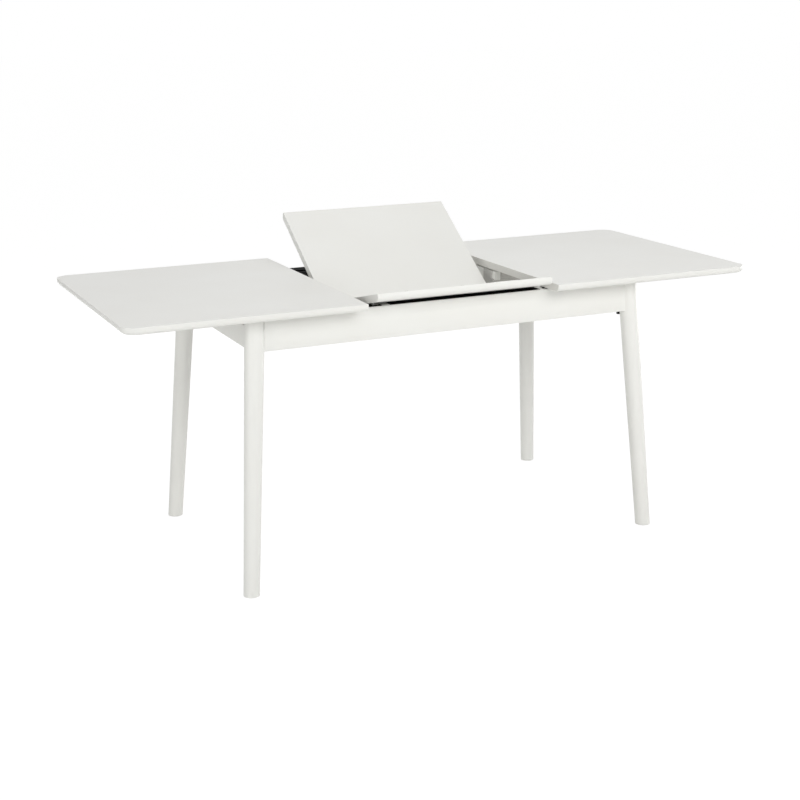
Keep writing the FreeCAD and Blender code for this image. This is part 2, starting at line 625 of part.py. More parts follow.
def catch_plates():
    """A small steel plate on each spacer rail, with a hole at one end and a screw at the other."""
    plates, screws = [], []
    for depth in SIDES:
        word = DEPTH_NAME[depth]
        blank = box(f"catch_{word}_blank", span(depth, "catch_x - catch_half", "catch_x + catch_half"),
                    span(depth, "catch_y - catch_deep / 2", "catch_y + catch_deep / 2"),
                    ("rail_top", "rail_top + catch_thick"))
        hole = rod(f"catch_{word}_hole", "z", "catch_hole", ("rail_top", "rail_top + catch_thick"),
                   (f"{depth} * (catch_x - catch_screw_x)", f"{depth} * catch_y"))
        screw_way = rod(f"catch_{word}_bore", "z", "screw_radius + run_play",
                        ("rail_top", "rail_top + catch_thick"), catch_screw(depth))
        plates.append(cut(f"catch_{word}", blank, [hole, screw_way]))
        screws.append(screw(f"catch_{word}_screw", "z", -1, "rail_top + catch_thick", catch_screw(depth),
                            "thin_head_high"))
    keep("catch_plates", group("catch_plates", plates))
    keep("catch_screws", group("catch_screws", screws))


def channel(name, side, depth, start, high, back, deep):
    """A steel channel, open towards the middle of the table; back counts from the spacer rail."""
    x = span(side, start, f"{start} + slide_length")
    mouth, rear = f"{RAIL_FACE} - {back} - {deep}", f"{RAIL_FACE} - {back}"
    outside = box(f"{name}_outside", x, span(depth, mouth, rear), around("slide_z", f"{high} / 2"))
    inside = box(f"{name}_inside", x, span(depth, mouth, f"{rear} - steel"),
                 around("slide_z", f"{high} / 2 - steel"))
    return cut(name, outside, [inside])


def inner_channel(name, side, depth):
    """The moving channel, open towards the spacer rail, so that its back can carry the runner."""
    x = span(side, "slide_start + travel_out", "slide_start + travel_out + slide_length")
    mouth = f"{RAIL_FACE} - inner_back"
    rear = f"{mouth} - inner_deep"
    outside = box(f"{name}_outside", x, span(depth, rear, mouth), around("slide_z", "inner_high / 2"))
    inside = box(f"{name}_inside", x, span(depth, f"{rear} + steel", mouth),
                 around("slide_z", "inner_high / 2 - steel"))
    return cut(name, outside, [inside])


def fixed_channels(depth):
    """The two fixed channels of one spacer rail, with their screw holes."""
    name = f"slide_outer_{DEPTH_NAME[depth]}"
    channels = []
    for side in SIDES:
        word = f"{name}_{SIDE_NAME[side]}"
        blank = channel(word, side, depth, "slide_start", "outer_high", "0", "outer_deep")
        holes = [screw_hole(f"{word}_hole_{i}", "y", depth, f"{depth} * ({RAIL_FACE} - steel)", centre)
                 for i, centre in enumerate(slide_screws(side))]
        channels.append(cut(f"{word}_drilled", blank, holes))
    keep(name, group(name, channels))


def fixed_channel_screws():
    """The screws of all fixed channels."""
    screws = [screw(f"slide_screw_{DEPTH_NAME[depth]}_{SIDE_NAME[side]}_{i}", "y", depth,
                    f"{depth} * ({RAIL_FACE} - steel)", centre, "thin_head_high")
              for depth in SIDES for side in SIDES for i, centre in enumerate(slide_screws(side))]
    keep("slide_screws", group("slide_screws", screws))


def moving_slides(side):
    """The middle and inner channels of one end, front and rear."""
    word = SIDE_NAME[side]
    middles = [channel(f"middle_{word}_{DEPTH_NAME[depth]}", side, depth, "slide_start + travel_out / 2",
                       "middle_high", "middle_back", "middle_deep") for depth in SIDES]
    keep(f"slide_middle_{word}", group(f"slide_middle_{word}", middles))
    inners = [inner_channel(f"inner_{word}_{DEPTH_NAME[depth]}", side, depth) for depth in SIDES]
    keep(f"slide_inner_{word}", group(f"slide_inner_{word}", inners))


RUNNER_BACK = f"{RAIL_FACE} - inner_back - inner_deep"


def runner_screws(side):
    """Where the runners' screws go."""
    return [(f"{side} * (half_gap + runner_inset + {share} * slide_length)",
             f"{depth} * ({RUNNER_BACK} - runner_wide / 2 - runner_thick / 2)")
            for depth in SIDES for share in (0.05, 0.5, 0.95)]


def runners(side):
    """Black steel angles under one half of the top, each on the back of an inner channel."""
    word = SIDE_NAME[side]
    x = span(side, "half_gap + runner_inset", "half_gap + runner_inset + slide_length")
    angles = []
    for k, depth in enumerate(SIDES):
        name = f"runner_{word}_{DEPTH_NAME[depth]}"
        wall = box(f"{name}_wall", x, span(depth, f"{RUNNER_BACK} - runner_thick", RUNNER_BACK),
                   ("runner_low", "table_height - board_thick"))
        flange = box(f"{name}_flange", x, span(depth, f"{RUNNER_BACK} - runner_wide", RUNNER_BACK),
                     (RUNNER_FACE, "table_height - board_thick"))
        holes = [screw_hole(f"{name}_hole_{i}", "z", 1, RUNNER_FACE, centre, "long_screw")
                 for i, centre in enumerate(runner_screws(side)[3 * k:3 * k + 3])]
        angles.append(cut(name, fuse(f"{name}_angle", [wall, flange]), holes))
    keep(f"runners_{word}", group(f"runners_{word}", angles))
    screws = [screw(f"runner_{word}_screw_{i}", "z", 1, RUNNER_FACE, centre, length="long_screw")
              for i, centre in enumerate(runner_screws(side))]
    keep(f"runner_screws_{word}", group(f"runner_screws_{word}", screws))


# ---------------------------------------------------------------- the whole table

for side in SIDES:
    top_half(side)
    moving_slides(side)
    runners(side)
    end_apron(side)
    cross_rail(side)
    guide_plate(side)
for depth in SIDES:
    leaf_half(depth)
    hinge_seats(depth)
    hinge_pins(depth)
    long_apron(depth)
    spacer_rail(depth)
    fixed_channels(depth)
for corner in CORNERS:
    leg(corner)
    corner_block(corner)
hinge_links()
leaf_lugs()
guide_shaft()
guide_plate_screws()
storage_rails()
corner_hardware()
catch_plates()
fixed_channel_screws()

document.recompute()
faults = [thing.Name for thing in document.Objects if {"Invalid", "Error"} & set(thing.State)]
faults += [name for name, thing in nodes.items() if thing.Shape.isNull() or not thing.Shape.isValid()]
if faults:
    raise RuntimeError(f"failed objects: {faults}")
os.makedirs("parts", exist_ok=True)
for name, thing in nodes.items():
    thing.Shape.exportStep(f"parts/{name}.step")
    bounds = thing.Shape.BoundBox
    print(f"{name:28s} solids {len(thing.Shape.Solids):2d}  volume {thing.Shape.Volume / 1000:9.2f} cm3  "
          f"x {bounds.XMin:7.1f}..{bounds.XMax:6.1f}  y {bounds.YMin:7.1f}..{bounds.YMax:6.1f}  "
          f"z {bounds.ZMin:6.1f}..{bounds.ZMax:6.1f}")
print(f"{len(nodes)} pieces; seam frames {front_seam}, {rear_seam}; pins {front_pin}, {rear_pin}; "
      f"shaft {shaft_low} to {shaft_high}, travel {(shaft_high - shaft_low).Length:.4f}")
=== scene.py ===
# %% [markdown]
# # A butterfly leaf table for the dining room
# The table is white lacquered wood. Its two tops slide apart on steel slides, and a leaf in two
# halves unfolds out of the gap between them. The solids of the table come from the CAD model, at
# their real size and place. This lesson gives each of them its finish, adds the small details
# that a solid model leaves out, and sets up a plain studio around the table.

# %% Load the table
import json
import math

import bpy
from mathutils import Matrix, Vector

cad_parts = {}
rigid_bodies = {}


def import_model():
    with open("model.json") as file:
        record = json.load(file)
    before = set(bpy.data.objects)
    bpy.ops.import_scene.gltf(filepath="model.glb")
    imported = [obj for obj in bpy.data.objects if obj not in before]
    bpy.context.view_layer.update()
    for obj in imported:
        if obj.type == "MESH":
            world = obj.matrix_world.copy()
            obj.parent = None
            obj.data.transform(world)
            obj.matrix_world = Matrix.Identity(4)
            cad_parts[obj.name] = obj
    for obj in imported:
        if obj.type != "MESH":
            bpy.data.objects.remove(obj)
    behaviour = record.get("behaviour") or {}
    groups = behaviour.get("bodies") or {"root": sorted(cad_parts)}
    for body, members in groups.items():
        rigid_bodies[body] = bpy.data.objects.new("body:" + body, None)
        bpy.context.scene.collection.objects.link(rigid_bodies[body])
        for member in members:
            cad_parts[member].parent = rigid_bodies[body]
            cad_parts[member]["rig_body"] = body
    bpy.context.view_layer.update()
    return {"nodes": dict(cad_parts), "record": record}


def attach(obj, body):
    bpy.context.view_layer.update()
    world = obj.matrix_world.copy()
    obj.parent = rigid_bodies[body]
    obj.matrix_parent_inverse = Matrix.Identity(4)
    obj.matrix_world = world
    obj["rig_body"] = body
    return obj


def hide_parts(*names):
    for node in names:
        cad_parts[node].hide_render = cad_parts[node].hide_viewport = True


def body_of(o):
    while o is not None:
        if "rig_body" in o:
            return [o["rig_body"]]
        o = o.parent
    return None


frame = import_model()
MILLIMETRE = 0.001

# %% [markdown]
# ## Sums on sockets
# A material's pattern is a sum of noises and masks. Written as nodes, such a sum is hard to read,
# so a small class wraps a socket and gives it plus, minus and times: every operator adds its Math
# node. Colours don't go through it, because a Math node would turn them grey.

# %% A socket that can stand in a sum
class Wire:
    """The output socket of a node, usable in sums with numbers and other wires."""

    def __init__(self, tree, socket):
        self.tree = tree
        self.socket = socket

    def sum(self, operation, first, second):
        node = self.tree.node("ShaderNodeMath", {"operation": operation}, {0: first, 1: second})
        return Wire(self.tree, node.outputs[0])

    def __add__(self, other):
        return self.sum("ADD", self, other)

    def __radd__(self, other):
        return self.sum("ADD", other, self)

    def __sub__(self, other):
        return self.sum("SUBTRACT", self, other)

    def __rsub__(self, other):
        return self.sum("SUBTRACT", other, self)

    def __mul__(self, other):
        return self.sum("MULTIPLY", self, other)

    def __rmul__(self, other):
        return self.sum("MULTIPLY", other, self)


print("wires take plus, minus and times")

# %% [markdown]
# ## Colours and finishes
# A colour is picked as a screen shows it and turned into the linear values that light adds up in.
# A finish is one material, built by code rather than by hand, so that a pattern is written once
# and used by many finishes. All its patterns read the piece's own coordinates, in metres, so a
# grain keeps its real size on every piece. The same two methods that add and feed nodes serve the
# studio's surroundings later.

# %% Colours as a screen shows them
def paint(red, green, blue):
    """A colour as a screen shows it, 0 to 255, in the linear values that nodes work in."""

    def linear(value):
        share = value / 255
        return share / 12.92 if share <= 0.04045 else ((share + 0.055) / 1.055) ** 2.4

    return (linear(red), linear(green), linear(blue), 1.0)


print("mid grey is", round(paint(128, 128, 128)[0], 3), "in linear light")


# %% A tree of nodes
class Tree:
    """The nodes of a material or of the world."""

    def __init__(self, owner):
        owner.use_nodes = True
        self.nodes = owner.node_tree.nodes
        self.links = owner.node_tree.links

    def feed(self, node, inputs):
        """Sets each input to a value, or links it to a wire."""
        for name, value in inputs.items():
            if isinstance(value, Wire):
                self.links.new(value.socket, node.inputs[name])
            else:
                node.inputs[name].default_value = value

    def node(self, kind, settings=None, inputs=None):
        """Adds a node, with its settings first and then its inputs."""
        node = self.nodes.new(kind)
        for name, value in (settings or {}).items():
            setattr(node, name, value)
        self.feed(node, inputs or {})
        return node


print("a tree adds nodes and feeds them")


# %% A finish: one material with its patterns
class Finish(Tree):
    """A procedural material built on one Principled shader."""

    def __init__(self, name, constants):
        self.material = bpy.data.materials.new(name)
        super().__init__(self.material)
        self.shader = self.nodes["Principled BSDF"]
        self.feed(self.shader, constants)

    def noise(self, grain, stretch=(1, 1, 1), detail=2.0, distortion=0.0):
        """Noise in the piece's own coordinates, with grains about so many metres across."""
        place = Wire(self, self.node("ShaderNodeTexCoord").outputs["Object"])
        mapped = self.node("ShaderNodeMapping", None, {"Vector": place, "Scale": stretch})
        cloud = self.node(
            "ShaderNodeTexNoise",
            {"noise_dimensions": "3D"},
            {
                "Vector": Wire(self, mapped.outputs["Vector"]),
                "Scale": 1 / grain,
                "Detail": detail,
                "Distortion": distortion,
            },
        )
        return Wire(self, cloud.outputs[0])

    def ramp(self, value, low, high):
        """Stretches the part of a wire between low and high over 0 to 1."""
        node = self.node(
            "ShaderNodeMapRange",
            {"clamp": True},
            {"Value": value, "From Min": low, "From Max": high, "To Min": 0.0, "To Max": 1.0},
        )
        return Wire(self, node.outputs["Result"])

    def blend(self, share, first, second):
        """A colour between two others."""
        node = self.node("ShaderNodeMix", {"data_type": "RGBA"}, {0: share, 6: first, 7: second})
        return Wire(self, node.outputs[2])

    def relief(self, height, depth):
        """Bumps the surface by height times depth, in metres."""
        bump = self.node("ShaderNodeBump", None, {"Strength": 1.0, "Distance": depth, "Height": height})
        self.feed(self.shader, {"Normal": Wire(self, bump.outputs["Normal"])})


print("a finish takes constants, patterns and a relief")

# %% [markdown]
# ## White lacquer
# The boards, aprons and legs are wood with a thick satin lacquer in warm white. From afar it is one
# even colour. Close up, the film has a fine orange peel from the spray gun, and under it the long
# fibres of the wood still show a little. The fibres follow each piece, so there is one lacquer for
# each direction: a noise stretched along the piece is enough for that. The colour drifts by a
# percent or two, as a sprayed film does.

# %% The lacquer in three directions
WHITE = paint(234, 234, 230)
WARM_WHITE = paint(231, 230, 225)
FIBRE_STRETCH = 0.04
FIBRE_GRAIN = 1.6 * MILLIMETRE
PEEL_GRAIN = 3.5 * MILLIMETRE
FILM_PATCH = 220 * MILLIMETRE
FIBRE_BAND = (0.5, 0.8)
DRIFT_BAND = (0.35, 0.65)
LACQUER_RELIEF = 0.018 * MILLIMETRE
AXES = {"x": 0, "y": 1, "z": 2}


def lacquer(name, along, light=WHITE, dark=WARM_WHITE):
    """Satin white lacquer on wood whose fibres run along one axis."""
    finish = Finish(
        name,
        {"Coat Weight": 0.12, "Coat Roughness": 0.22, "IOR": 1.46, "Diffuse Roughness": 0.2},
    )
    stretch = [1.0, 1.0, 1.0]
    stretch[AXES[along]] = FIBRE_STRETCH
    fibres = finish.noise(FIBRE_GRAIN, stretch, detail=3.0, distortion=0.4)
    peel = finish.noise(PEEL_GRAIN, detail=1.0)
    film = finish.noise(FILM_PATCH, detail=3.0)
    drift = finish.ramp(film, *DRIFT_BAND) * 0.5 + finish.ramp(fibres, *FIBRE_BAND) * 0.18
    finish.feed(
        finish.shader,
        {
            "Base Color": finish.blend(drift, light, dark),
            "Roughness": 0.34 + film * 0.08 + peel * 0.05,
        },
    )
    finish.relief(fibres * 0.55 + peel * 0.45, LACQUER_RELIEF)
    return finish.material


LACQUER = {along: lacquer(f"white_lacquer_{along}", along) for along in AXES}
# a darker white, used as painted shade on the inner edges of the tops
PAINTED_SHADE_LACQUER = lacquer("painted_shade_white_lacquer", "y", paint(223, 222, 217), paint(219, 218, 212))
print("lacquers:", sorted(LACQUER), "and", PAINTED_SHADE_LACQUER.name)

# %% [markdown]
# ## Black rails and dark steel
# The rails that carry the slides are painted black, so that the gap under the leaf reads as a
# dark line. The slides themselves, the runners under the tops and the lock bolts are steel with a
# thin black coat. It is dull, with a fine speckle, and rubbed lighter in long patches. The guide
# plates, their shaft and the leaf's lugs have the same kind of coat in grey.

# %% Black paint, black steel and grey steel
RUB_PATCH = 60 * MILLIMETRE
RUB_STRETCH = (0.25, 1, 1)
RUB_BAND = (0.42, 0.72)
SPECKLE_RELIEF = 0.02 * MILLIMETRE


def coated(name, dark, light, grain, constants, rough):
    """A thin coat with a speckle between two near colours."""
    finish = Finish(name, constants)
    speckle = finish.noise(grain, detail=2.0)
    rub = finish.ramp(finish.noise(RUB_PATCH, RUB_STRETCH, detail=4.0), *RUB_BAND)
    finish.feed(
        finish.shader,
        {
            "Base Color": finish.blend(speckle * 0.4 + rub * 0.5, dark, light),
            "Roughness": rough + speckle * 0.12 - rub * 0.06,
        },
    )
    finish.relief(speckle, SPECKLE_RELIEF)
    return finish.material


MATT = {"IOR": 1.4, "Specular IOR Level": 0.12}
BLACK_PAINT = coated(
    "black_paint", paint(12, 12, 12), paint(21, 20, 20), 1.2 * MILLIMETRE, MATT, 0.75
)
BLACK_STEEL = coated(
    "black_steel_coat",
    paint(20, 20, 21),
    paint(46, 46, 47),
    0.8 * MILLIMETRE,
    {"Metallic": 0.55},
    0.38,
)
GREY_STEEL = coated(
    "grey_steel_plate",
    paint(192, 191, 188),
    paint(206, 205, 202),
    1.5 * MILLIMETRE,
    {"Metallic": 0.6},
    0.42,
)
print("coats:", BLACK_PAINT.name, BLACK_STEEL.name, GREY_STEEL.name)

# %% [markdown]
# ## Small metal and plastic
# The screws and the leg bolts are bright zinc, and the catch plates a duller one. The hinge seats
# and links are brass under a dull nickel plate, and the hinge pins are drawn steel. The guide
# rollers are nylon and the glides under the feet are a grey plastic. A darker grey primer, used on
# the inner faces of the aprons and on the corner blocks, is painted shade for the shade that falls
# inside the frame. They all use the same recipe: a broad tone that drifts, and a fine relief of
# the tool, the mould or the brush.

# %% Zinc, nickel, pin steel, nylon, glide plastic and a primer grey as painted shade
TONE_PATCH = 9 * MILLIMETRE


def plain(name, first, second, constants, rough, grain, depth):
    """A small part's finish: a drifting tone over a fine relief, its two sizes in millimetres."""
    finish = Finish(name, constants)
    tone = finish.noise(TONE_PATCH, detail=3.0)
    fine = finish.noise(grain * MILLIMETRE, detail=2.0)
    finish.feed(
        finish.shader,
        {
            "Base Color": finish.blend(finish.ramp(tone, *DRIFT_BAND), first, second),
            "Roughness": rough + fine * 0.1,
        },
    )
    finish.relief(fine, depth * MILLIMETRE)
    return finish.material


METAL = {"Metallic": 1.0}
DULLED = {"Metallic": 0.15}
RESIN = {"IOR": 1.52}
PLASTIC = {"IOR": 1.5}
CHALKY = {"IOR": 1.45}
# each line ends with the roughness, and the grain and depth of the relief in millimetres
ZINC = plain("bright_zinc", paint(196, 198, 200), paint(214, 212, 204), METAL, 0.24, 0.6, 0.006)
NICKEL = plain("hinge_nickel", paint(186, 183, 174), paint(200, 197, 188), METAL, 0.34, 0.6, 0.006)
PIN_STEEL = plain("drawn_pin_steel", paint(176, 178, 180), paint(194, 195, 196), METAL, 0.2, 0.4, 0.004)
CATCH_ZINC = plain("catch_zinc", paint(192, 191, 187), paint(206, 205, 201), DULLED, 0.4, 0.8, 0.008)
NYLON = plain("roller_nylon", paint(222, 219, 209), paint(230, 228, 220), RESIN, 0.42, 0.8, 0.008)
GLIDE = plain("glide_plastic", paint(176, 174, 170), paint(186, 184, 179), PLASTIC, 0.46, 0.9, 0.01)
# the primer grey is painted shade: it darkens the faces inside the frame where shade falls
PRIMER_AS_PAINTED_SHADE = plain("grey_primer_as_painted_shade", paint(183, 181, 176), paint(190, 188, 183), CHALKY, 0.62, 2, 0.02)
SMALL_FINISHES = (ZINC, NICKEL, PIN_STEEL, CATCH_ZINC, NYLON, GLIDE, PRIMER_AS_PAINTED_SHADE)
print("small finishes:", ", ".join(finish.name for finish in SMALL_FINISHES))

# %% [markdown]
# ## Finishes on the CAD nodes
# Every node gets the finish of its slot in the record. The fibres of the lacquered wood follow the
# length of each board: along Y for the cross rails and end aprons, upright for the legs, and along
# X for the rest.

# %% Dress the nodes
BY_SLOT = {
    "black_painted_wood": BLACK_PAINT,
    "black_steel": BLACK_STEEL,
    "grey_steel": GREY_STEEL,
    "zinc_fasteners": ZINC,
    "hinge_brass": NICKEL,
    "pin_steel": PIN_STEEL,
    "nylon": NYLON,
    "glide_plastic": GLIDE,
}
ALONG_Y = ("apron_left", "apron_right", "cross_rail_left", "cross_rail_right")
NODE_SLOT = {part["node"]: part["material_slot"] for part in frame["record"]["subparts"]}


def wood_direction(node):
    """The axis that a lacquered node's fibres follow."""
    if node.startswith("leg_"):
        return "z"
    return "y" if node in ALONG_Y else "x"


def finish_of(node):
    """The finish of a node by its slot in the record, but for the catch plates' own zinc."""
    if node == "catch_plates":
        return CATCH_ZINC
    slot = NODE_SLOT[node]
    return LACQUER[wood_direction(node)] if slot == "lacquered_wood" else BY_SLOT[slot]


for name, node in frame["nodes"].items():
    node.data.materials.clear()
    node.data.materials.append(finish_of(name))
print("dressed", len(frame["nodes"]), "nodes")

# %% [markdown]
# ## Eased boards
# Every board and rail of the real table is run over with a small round cutter and sandpaper
# before it is sprayed, because lacquer doesn't hold on a sharp edge. The round is only about a
# millimetre, but it catches a thin line of light. The solids could carry it, but it would make
# them heavy, and a Bevel modifier does the same to a copy of the mesh. The copy's loose triangles
# are merged and its flat faces joined first, so that only real edges are rounded. Weighted
# normals then keep the flat faces flat next to the small rounds.

# %% Tools for a cleaned and eased copy
MERGE_DISTANCE = 0.01 * MILLIMETRE
FLAT_ANGLE = math.radians(0.5)
EDGE_ANGLE = math.radians(40)
ROUND_ANGLE = math.radians(35)


def pick(piece):
    """Makes a piece the one that is selected and active."""
    bpy.ops.object.select_all(action="DESELECT")
    piece.select_set(True)
    bpy.context.view_layer.objects.active = piece


def clean_copy(node, name):
    """A copy of a CAD node's mesh with its triangles merged and its flat faces joined."""
    piece = bpy.data.objects.new(name, frame["nodes"][node].data.copy())
    bpy.context.scene.collection.objects.link(piece)
    pick(piece)
    bpy.ops.mesh.customdata_custom_splitnormals_clear()
    bpy.ops.object.mode_set(mode="EDIT")
    bpy.ops.mesh.select_all(action="SELECT")
    bpy.ops.mesh.remove_doubles(threshold=MERGE_DISTANCE)
    bpy.ops.mesh.dissolve_limited(angle_limit=FLAT_ANGLE)
    bpy.ops.object.mode_set(mode="OBJECT")
    return piece


def apply_modifier(piece, kind, settings):
    """Adds a modifier and applies it at once."""
    pick(piece)
    modifier = piece.modifiers.new(kind.lower(), kind)
    for name, value in settings.items():
        setattr(modifier, name, value)
    bpy.ops.object.modifier_apply(modifier=modifier.name)


def ease(piece, radius):
    """Rounds a piece's edges, and shades the rounds smooth and the faces flat."""
    bevel = {"width": radius, "segments": 2, "limit_method": "ANGLE", "angle_limit": EDGE_ANGLE}
    apply_modifier(piece, "BEVEL", bevel | {"use_clamp_overlap": False})
    bpy.ops.object.shade_smooth_by_angle(angle=ROUND_ANGLE)
    apply_modifier(piece, "WEIGHTED_NORMAL", {"keep_sharp": True})


print("edges sharper than", round(math.degrees(EDGE_ANGLE)), "degrees are rounded")


# %% Tools for a copy's place and its paint line
def stands_for(piece, node):
    """Lets a piece take a CAD node's place and body."""
    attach(piece, body_of(frame["nodes"][node])[0])
    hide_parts(node)


def cut_line(piece, place, normal):
    """Adds an edge where a plane passes through a piece, for two finishes to meet on."""
    pick(piece)
    bpy.ops.object.mode_set(mode="EDIT")
    bpy.ops.mesh.select_all(action="SELECT")
    bpy.ops.mesh.bisect(plane_co=place, plane_no=normal)
    bpy.ops.object.mode_set(mode="OBJECT")


# %% Eased copies of the wooden pieces
BOARD_EASING = 1.0 * MILLIMETRE
PAINT_EDGE = 301.5 * MILLIMETRE
PAINT_END = 266 * MILLIMETRE
PAINT_LINES = {
    "spacer_rail_front": [((0, -PAINT_EDGE, 0), (0, 1, 0)), ((PAINT_END, 0, 0), (1, 0, 0))],
    "spacer_rail_rear": [((0, PAINT_EDGE, 0), (0, 1, 0))],
}
BOARDS = ["apron_front", "apron_rear", "apron_left", "apron_right"]
BOARDS += ["cross_rail_left", "cross_rail_right", "storage_rails"]
BOARDS += ["spacer_rail_front", "spacer_rail_rear"]
BOARDS += [f"corner_block_{end}_{side}" for end in ("front", "rear") for side in ("left", "right")]
BOARDS += ["leaf_front", "leaf_rear"]
boards = {}
for node in BOARDS:
    boards[node] = clean_copy(node, f"{node}_eased")
    for place, normal in PAINT_LINES.get(node, ()):
        cut_line(boards[node], place, normal)
    ease(boards[node], BOARD_EASING)
    stands_for(boards[node], node)
face_count = sum(len(piece.data.polygons) for piece in boards.values())
print("eased", len(boards), "boards,", face_count, "faces")

# %% [markdown]
# ## Painted shade inside the frame
# The inner faces of the aprons take a darker grey primer, as painted shade for the shade that falls
# inside the frame under the tops. A second material slot on the eased board holds the primer, and
# the faces that look at the middle of the table are given to it. The corner blocks take it all over.

# %% Painted shade on the inner faces
SQUARE_ON = 0.9  # least cosine between a face's normal and the way that it has to look
INNER_NORMALS = {
    "apron_front": Vector((0, 1, 0)),
    "apron_rear": Vector((0, -1, 0)),
    "apron_left": Vector((1, 0, 0)),
    "apron_right": Vector((-1, 0, 0)),
}
# the grey primer on the faces that look inward is painted shade inside the frame
for node, inward in INNER_NORMALS.items():
    board = boards[node]
    board.data.materials.append(PRIMER_AS_PAINTED_SHADE)
    for face in board.data.polygons:
        face.material_index = 1 if face.normal.dot(inward) > SQUARE_ON else 0
for node, block in boards.items():
    if node.startswith("corner_block"):
        block.data.materials[0] = PRIMER_AS_PAINTED_SHADE
print("primed the inside of", len(INNER_NORMALS), "aprons and the corner blocks")

# %% [markdown]
# ## Where the black paint ends
# The spacer rails are masked before they are painted black. The white lacquer of the aprons runs
# a few millimetres over their outer edge, and on the front rail the black stops beside the right
# cross rail. The eased rails got an edge on these lines, so the faces beyond them take the lacquer.

# %% White edges on the black rails
for node, side in (("spacer_rail_front", -1), ("spacer_rail_rear", 1)):
    rail = boards[node]
    rail.data.materials.append(LACQUER["x"])
    for face in rail.data.polygons:
        beyond_edge = side * face.center.y > PAINT_EDGE
        beyond_end = side < 0 and face.center.x > PAINT_END
        face.material_index = 1 if beyond_edge or beyond_end else 0
    print(node, "has", sum(face.material_index for face in rail.data.polygons), "white faces")

# %% [markdown]
# ## The tops
# The two tops already have their rounds in the solid. Their inner edges, which meet the leaf,
# get a slightly darker white lacquer, as painted shade for the shade in the gap beside the leaf.
# As on the aprons, a second material slot on a cleaned copy holds that darker white.

# %% Painted shade on the inner edges of the tops
HALF_TURNED = 0.3  # the same cosine, low enough to take in the rounds of the edge
EDGE_DEPTH = 20 * MILLIMETRE
for node, inward in (("top_left", Vector((1, 0, 0))), ("top_right", Vector((-1, 0, 0)))):
    top = clean_copy(node, f"{node}_sprayed")
    bpy.ops.object.shade_smooth_by_angle(angle=ROUND_ANGLE)
    apply_modifier(top, "WEIGHTED_NORMAL", {"keep_sharp": True})
    # the darker white on inward faces near the inner edge is painted shade
    top.data.materials.append(PAINTED_SHADE_LACQUER)
    inner_edge = max(corner.co.dot(inward) for corner in top.data.vertices)
    for face in top.data.polygons:
        looks_inward = face.normal.dot(inward) > HALF_TURNED
        near_edge = face.center.dot(inward) > inner_edge - EDGE_DEPTH
        face.material_index = 1 if looks_inward and near_edge else 0
    stands_for(top, node)
    print(top.name, len(top.data.polygons), "faces")

# %% [markdown]
# ## Screws
# The slides, runners, guide plates and catches are held by small pan-head screws with a cross
# recess. The solids have them as plain cylinders. One screw is modelled for each set: the head is
# a cylinder whose rim is bevelled, its underside is inset and extruded into the shank, and the
# shank's end is drawn to a point. Two crossed bars cut the recess. The set's solids say where each
# screw stands, which way it points and how large it is, so a copy goes to each of them.

# %% Tools for small turned pieces and blocks
POINT_SHARE = 0.15


def choose_faces(piece, wanted):
    """Leaves the piece in edit mode with only the wanted faces selected."""
    pick(piece)
    bpy.ops.object.mode_set(mode="EDIT")
    bpy.ops.mesh.select_mode(type="FACE")
    bpy.ops.mesh.select_all(action="DESELECT")
    bpy.ops.object.mode_set(mode="OBJECT")
    for face in piece.data.polygons:
        face.select = wanted(face.center, face.normal)
    bpy.ops.object.mode_set(mode="EDIT")


def turned(name, radius, high, sides):
    """A short cylinder on the origin, rising along +Z."""
    bpy.ops.object.select_all(action="DESELECT")
    bpy.ops.mesh.primitive_cylinder_add(
        vertices=sides, radius=radius, depth=high, location=(0, 0, high / 2)
    )
    piece = bpy.context.object
    piece.name = name
    bpy.ops.object.transform_apply(location=True, rotation=False, scale=False)
    return piece


def block(name, low, high):
    """A block from its lowest corner to its highest one."""
    bpy.ops.object.select_all(action="DESELECT")
    bpy.ops.mesh.primitive_cube_add(size=1.0, location=(low + high) / 2)
    piece = bpy.context.object
    piece.name = name
    bpy.ops.object.mode_set(mode="EDIT")
    bpy.ops.mesh.select_all(action="SELECT")
    bpy.ops.transform.resize(value=high - low)
    bpy.ops.object.mode_set(mode="OBJECT")
    bpy.ops.object.transform_apply(location=True, rotation=False, scale=False)
    return piece


def draw_shank(piece, head_radius, shank_radius, length, point):
    """Insets the underside to the shank and extrudes it down, with a point at its end."""
    choose_faces(piece, lambda centre, normal: normal.z < -SQUARE_ON)
    bpy.ops.mesh.inset(thickness=head_radius - shank_radius)
    bpy.ops.mesh.extrude_region_move(TRANSFORM_OT_translate={"value": (0, 0, -(length - point))})
    bpy.ops.mesh.extrude_region_move(TRANSFORM_OT_translate={"value": (0, 0, -point)})
    bpy.ops.transform.resize(value=(POINT_SHARE, POINT_SHARE, 1.0))
    bpy.ops.object.mode_set(mode="OBJECT")


def round_rim(piece, top, radius, segments):
    """Bevels the edge around the face at the top."""

    def at_top(centre, normal):
        return normal.z > SQUARE_ON and abs(centre.z - top) < MERGE_DISTANCE

    choose_faces(piece, at_top)
    bpy.ops.mesh.bevel(offset=radius, segments=segments, affect="EDGES")
    bpy.ops.object.mode_set(mode="OBJECT")


def cut_with(piece, cutter):
    """Cuts a piece with another, which is deleted."""
    apply_modifier(piece, "BOOLEAN", {"operation": "DIFFERENCE", "solver": "EXACT", "object": cutter})
    bpy.data.objects.remove(cutter)


print("tools for turned pieces and blocks are ready")

# %% One screw with a cross recess
RECESS_REACH = 0.62
RECESS_WIDE = 0.2
RECESS_DEEP = 0.55
RIM_SHARE = 0.4
SCREW_SIDES = 24
THREAD_POINT = 2.5 * MILLIMETRE


